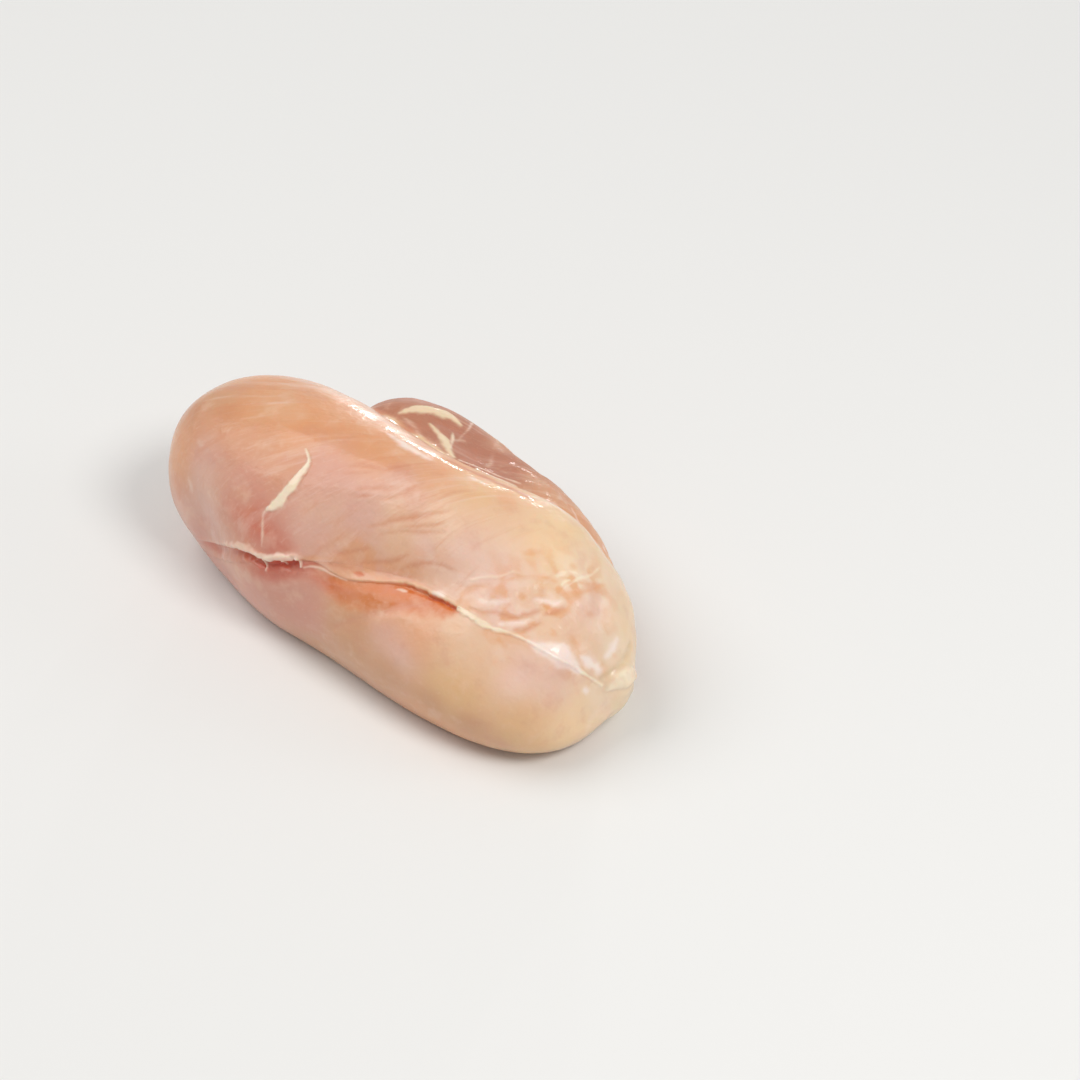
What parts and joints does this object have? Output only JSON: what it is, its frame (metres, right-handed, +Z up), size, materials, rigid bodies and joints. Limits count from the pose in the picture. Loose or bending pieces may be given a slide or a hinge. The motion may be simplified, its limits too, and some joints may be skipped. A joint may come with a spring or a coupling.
{
  "type": "raw chicken breast",
  "caption": "Raw boneless, skinless chicken breast, whole, with its lobes folded together and a deep cleft along one side, lying flat.",
  "frame": {"origin": "middle of the flat underside, at the bottom centre of the bounding box", "axes": "+X from the thick end to the tip, +Z up as the breast lies, -Y towards the side with the cleft"},
  "size_m": [0.172, 0.0938, 0.0623],
  "materials": {
    "flesh": "moist raw flesh"
  },
  "bodies": {
    "root": {"breast": "flesh"}
  },
  "joints": []
}
